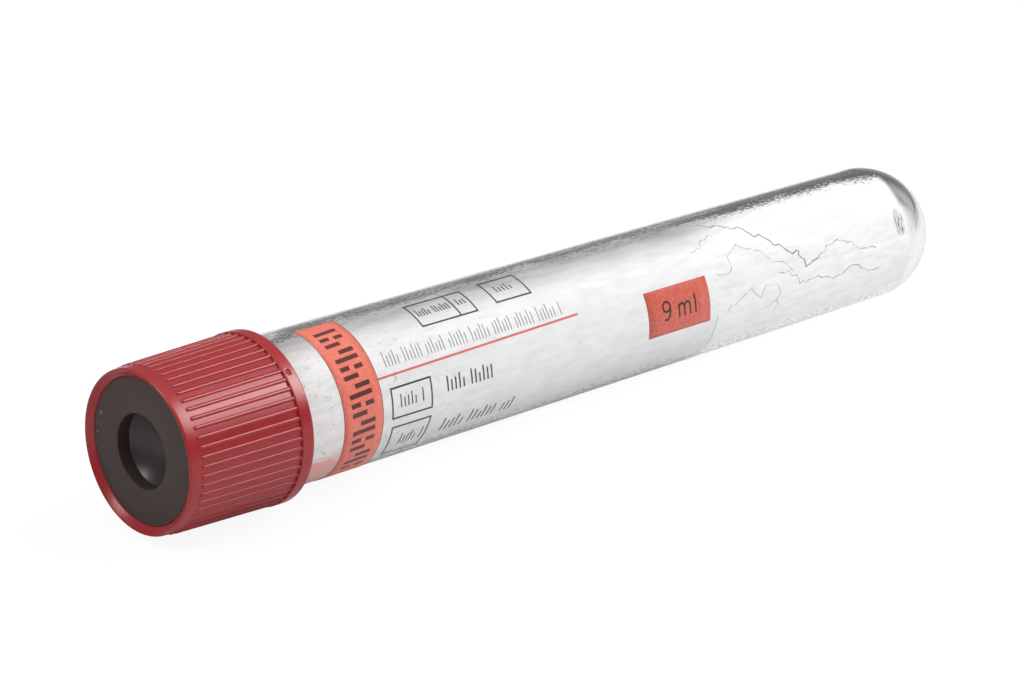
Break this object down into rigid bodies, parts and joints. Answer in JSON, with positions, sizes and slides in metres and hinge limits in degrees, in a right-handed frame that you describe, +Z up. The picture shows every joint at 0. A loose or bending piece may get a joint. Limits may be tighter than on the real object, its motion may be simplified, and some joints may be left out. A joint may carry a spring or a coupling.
{
  "type": "blood collection tube",
  "caption": "Clear round-bottomed evacuated sample tube with a ribbed red pull-off cap, black cap ring, rubber stopper and printed clear label.",
  "frame": {"origin": "on the ground under the middle of the lying tube", "axes": "+X towards the round end along the tube, +Z up; the camera's side is -Y"},
  "size_m": [0.1086, 0.0178, 0.0179],
  "materials": {
    "clear_pet": "injection-moulded clear PET, dried white clot activator on the inner wall",
    "label_film": "clear polypropylene label film",
    "red_print": "printed salmon red field",
    "red_cap": "injection-moulded red polyethylene, satin",
    "black_ring": "injection-moulded black polyethylene, matt",
    "butyl_rubber": "moulded black butyl rubber, smooth"
  },
  "bodies": {
    "tube": {"tube": "clear_pet", "label": "label_film", "label_band": "red_print", "volume_field": "red_print"},
    "closure": {"cap": "red_cap", "cap_ring": "black_ring", "stopper": "butyl_rubber"}
  },
  "joints": [
    {"name": "cap_pull", "type": "slide", "parent": "tube", "child": "closure", "axis": [-0.9998, 0, 0.0195], "range_m": [0, 0.03]}
  ]
}
